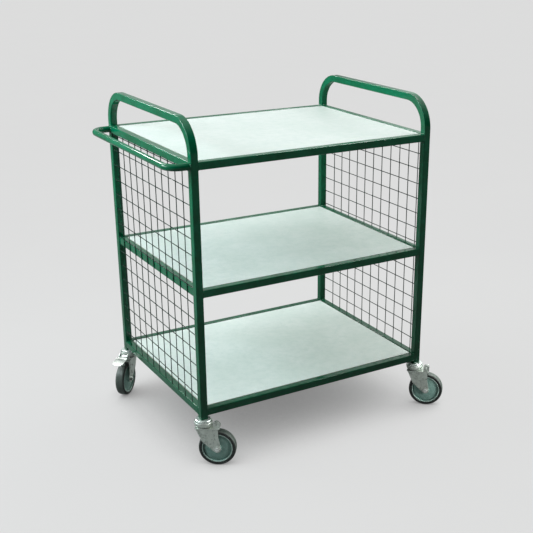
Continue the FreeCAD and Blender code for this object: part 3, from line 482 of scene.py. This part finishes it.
# resistance welds of the wire mesh: at the crossings, at the wire ends, and across the middle rail
for side, sign, start, pitch, z0, dz, rows in (
    ("left", -1, 71.5, 54.1, 243.0, 53.25, 15),
    ("right", 1, 60.0, 53.8, 249.0, 53.2, 14),
):
    nuggets = bmesh.new()
    uprights = [(-342.5 + start + pitch * i) * MM for i in range(11)]
    crosses = [(z0 + dz * j) * MM + FLOOR for j in range(rows)]
    x_up, x_cross, x_mid = sign * 442.8 * MM, sign * 440.1 * MM, sign * 441.45 * MM
    for y in uprights:
        for z in crosses:
            blob(nuggets, Vector((x_mid, y, z)), (1.7 * MM, 1.95 * MM, 1.95 * MM), rng)
        for z in (202 * MM + FLOOR, 993 * MM + FLOOR):
            blob(nuggets, Vector((x_up, y, z)), (2.3 * MM, 2.5 * MM, 1.7 * MM), rng, 2)
        for z in (590 * MM + FLOOR, 608 * MM + FLOOR):
            blob(nuggets, Vector((x_up - sign * 1.2 * MM, y, z)), (1.4 * MM, 2.5 * MM, 3.2 * MM), rng, 2)
    for z in crosses:
        for y in (-317.5 * MM, 317.5 * MM):
            blob(nuggets, Vector((x_cross, y, z)), (2.5 * MM, 1.7 * MM, 2.5 * MM), rng, 2)
    piece(f"mesh_spot_welds_{side}", nuggets, "mesh_paint", "trolley_frame")


def ring(bm, centre, axis, radius, offset, thick, turns=180):
    side = Z3.cross(axis)
    centres, sides, ups, radii = [], [], [], []
    for k in range(turns):
        a = 2 * math.pi * k / turns
        out = Z3 * math.sin(a) + side * math.cos(a)
        centres.append(centre + axis * offset + out * radius)
        sides.append(axis)
        ups.append(out)
        radii.append(thick)
    tube(bm, centres, sides, radii, up=ups, ring=6)


# tyre: the parting line round the tread and one raised line on each flank
for w in WHEELS:
    node = NODES[f"castor_tyre_{w}"]
    centre, axis = AXLE[w]
    tree = BVHTree.FromPolygons([v.co for v in node.data.vertices], [tuple(p.vertices) for p in node.data.polygons])
    bm = bmesh.new()
    ring(bm, centre, axis, 62.3 * MM, 0, 0.42 * MM)
    for s in (-1, 1):
        for r in (57.5 * MM,):
            at = centre + axis * s * 0.05 + Z3 * r
            hit = tree.ray_cast(at, -axis * s, 0.06)[0]
            if hit is not None:
                ring(bm, centre, axis, r, (hit - centre).dot(axis), 0.5 * MM)
    piece(f"tyre_mould_lines_{w}", bm, "black_tyre", f"wheel_{w}", f"black_tyre_{w}")


# ------------------------------------------------------------------ studio

scene = bpy.context.scene
scene.view_settings.view_transform = "Standard"
scene.view_settings.look = "None"
scene.view_settings.exposure = 0.0
scene.view_settings.gamma = 1.0

world = bpy.data.worlds.new("studio")
scene.world = world
world.use_nodes = True
nt = world.node_tree
nt.nodes.clear()
direction = nt.nodes.new("ShaderNodeTexCoord").outputs["Generated"]


def world_math(op, a, b=0.0, clamp=False):
    n = nt.nodes.new("ShaderNodeMath")
    n.operation, n.use_clamp = op, clamp
    for i, v in enumerate((a, b)):
        if isinstance(v, bpy.types.NodeSocket):
            nt.links.new(v, n.inputs[i])
        else:
            n.inputs[i].default_value = v
    return n.outputs[0]


def lobe(toward, low, high, power):
    """Soft light from one side of the sky: power times a smooth step of how nearly the ray points that way."""
    d = nt.nodes.new("ShaderNodeVectorMath")
    d.operation = "DOT_PRODUCT"
    nt.links.new(direction, d.inputs[0])
    d.inputs[1].default_value = Vector(toward).normalized()
    m = nt.nodes.new("ShaderNodeMapRange")
    m.interpolation_type = "SMOOTHSTEP"
    nt.links.new(d.outputs["Value"], m.inputs[0])
    m.inputs[1].default_value, m.inputs[2].default_value = low, high
    m.inputs[3].default_value, m.inputs[4].default_value = 0.0, power
    return m.outputs[0]


LIGHTS = (
    # toward, low, high, power, tint
    ((-0.10, 0.15, 1.0), 0.55, 0.98, 0.88, (1.0, 0.935, 0.95)),  # overhead
    ((-0.90, 0.42, 0.35), 0.56, 0.98, 1.20, (0.88, 1.0, 0.96)),  # left
    ((0.98, 0.07, 0.27), 0.57, 1.00, 2.45, (0.91, 1.0, 0.93)),  # right, through the far mesh onto the shelves
    ((0.25, 0.75, 0.70), 0.65, 1.00, 0.42, (0.96, 1.0, 0.99)),  # behind and above
)


def world_vector(op, a, b):
    n = nt.nodes.new("ShaderNodeVectorMath")
    n.operation = op
    for sock, v in ((n.inputs[0], a), (n.inputs["Scale"] if op == "SCALE" else n.inputs[1], b)):
        if isinstance(v, bpy.types.NodeSocket):
            nt.links.new(v, sock)
        else:
            sock.default_value = v
    return n.outputs[0]


total = None
for *row, tint in LIGHTS:
    s = world_vector("SCALE", tint, lobe(*row))
    total = s if total is None else world_vector("ADD", total, s)
total = world_vector("ADD", total, (0.04, 0.04, 0.04))
seen = nt.nodes.new("ShaderNodeLightPath").outputs["Is Camera Ray"]
total = world_vector("SCALE", total, world_math("SUBTRACT", 1.0, seen))
total = world_vector("ADD", total, world_vector("SCALE", (0.75, 0.75, 0.75), seen))
background = nt.nodes.new("ShaderNodeBackground")
nt.links.new(total, background.inputs["Color"])
nt.links.new(background.outputs[0], nt.nodes.new("ShaderNodeOutputWorld").inputs[0])


def softbox(name, at, aim, width, height, power, colour=(1, 1, 1)):
    data = bpy.data.lights.new(name, "AREA")
    data.shape, data.size, data.size_y = "RECTANGLE", width, height
    data.energy, data.color = power, colour
    obj = bpy.data.objects.new(name, data)
    scene.collection.objects.link(obj)
    obj.location = at
    obj.rotation_euler = (Vector(aim) - Vector(at)).to_track_quat("-Z", "Y").to_euler()
    obj.visible_camera = False
    return obj


# radiance of a softbox = power / (pi * area)
softbox("softbox_behind", (2.1, 3.3, 2.15), (0, 0, 0.6), 5.0, 1.3, 6.5)
softbox("softbox_left", (-2.1, 0.55, 1.65), (-0.4, 0, 0.85), 1.4, 0.9, 46, (0.82, 0.98, 1.0))
softbox("softbox_right", (1.65, -0.15, 0.95), (0.4, 0, 0.2), 0.8, 0.6, 6, (0.92, 1.0, 0.95))
# a low front fill that reaches the castors alone
fill = softbox("castor_fill", (1.25, -1.75, 0.45), (0.3, -0.35, -0.1), 0.9, 0.6, 26, (0.95, 1.0, 0.97))
reached = bpy.data.collections.new("castor_fill_reach")
for name, obj in NODES.items():
    if name.startswith(("castor_", "brake_")):
        reached.objects.link(obj)
fill.light_linking.receiver_collection = reached
# narrow strips that only glance off the gloss, along the rounded edges of the tubes
for name, at, width, height, power in (
    ("strip_behind", (-0.75, 2.7, 2.85), 0.26, 1.6, 60),
    ("strip_above", (1.55, 0.35, 3.1), 2.2, 0.22, 60),
    ("strip_left", (-2.4, 1.2, 2.2), 0.20, 1.2, 30),
):
    softbox(name, at, (0, 0, 0.75), width, height, power).visible_diffuse = False


# floor: pale and matt, a little darker in what it throws back at the trolley; the camera sees it glow evenly pale,
# with a painted shadow under the trolley taken from ambient occlusion
bm = bmesh.new()
bmesh.ops.create_grid(bm, x_segments=2, y_segments=2, size=60.0, matrix=Matrix.Translation((0, 0, FLOOR - 0.0004)))
mesh = bpy.data.meshes.new("studio_floor")
bm.to_mesh(mesh)
bm.free()
floor = bpy.data.objects.new("studio_floor", mesh)
scene.collection.objects.link(floor)
s = Shader("studio_floor")
grain = s.noise(3.0, 3, 0.5)
path = s.nt.nodes.new("ShaderNodeLightPath")
near = s.nt.nodes.new("ShaderNodeAmbientOcclusion")
near.samples = 16
near.inputs["Distance"].default_value = 0.52
# painted shadow: the camera's glow is dimmed where the ambient occlusion is low
lit = s.math("MULTIPLY_ADD", near.outputs["AO"], 1 / 0.74, -0.02 / 0.74, clamp=True)
floor_glow_painted_shadow = s.math("MULTIPLY_ADD", lit, 0.69, 0.18)
floor_glow_painted_shadow = s.math("MULTIPLY", floor_glow_painted_shadow, s.math("MULTIPLY", path.outputs["Is Camera Ray"], 0.745))
back_light = s.blend(path.outputs["Is Glossy Ray"], (0.07, 0.07, 0.07), (0.32, 0.32, 0.32))
seen = s.blend(path.outputs["Is Camera Ray"], back_light, s.blend(s.span(grain, 0.2, 0.8), (0.073, 0.073, 0.073), (0.077, 0.077, 0.077)))
mesh.materials.append(
    s.finish(Base_Color=seen, Roughness=0.95, Specular_IOR_Level=0.0, Emission_Color=(1.0, 1.0, 1.0), Emission_Strength=floor_glow_painted_shadow)
)

# camera: the lens is shifted, as in a cropped picture; the shift is dropped when the camera is moved for another view
AZ, EL, ROLL = math.radians(-32.01601), math.radians(21.19237), math.radians(0.474304)
back = Vector((math.sin(AZ) * math.cos(EL), -math.cos(AZ) * math.cos(EL), math.sin(EL)))
right = Vector((math.cos(AZ), math.sin(AZ), 0))
up = back.cross(right)
c, sn = math.cos(ROLL), math.sin(ROLL)
right2, up2 = right * c + up * sn, up * c - right * sn
turn = Matrix((right2, up2, back)).transposed()
HOME = Vector((-1.614044, -2.945325, 1.469272))
cam_data = bpy.data.cameras.new("camera")
cam_data.sensor_width = 36.0
cam_data.lens = 65.8089
cam_data.clip_end = 200
camera = bpy.data.objects.new("camera", cam_data)
scene.collection.objects.link(camera)
camera.matrix_world = Matrix.Translation(HOME) @ turn.to_4x4()
for path, amount in (("shift_x", -0.10314), ("shift_y", 0.07186)):
    driver = cam_data.driver_add(path).driver
    driver.type = "SCRIPTED"
    for name in ("x", "y", "z"):
        v = driver.variables.new()
        v.name, v.type = name, "SINGLE_PROP"
        v.targets[0].id = camera
        v.targets[0].data_path = "location[%d]" % "xyz".index(name)
    moved = "abs(x - %.6f) + abs(y - %.6f) + abs(z - %.6f)" % tuple(HOME)
    driver.expression = "%.5f if %s < 0.001 else 0.0" % (amount, moved)
scene.camera = camera
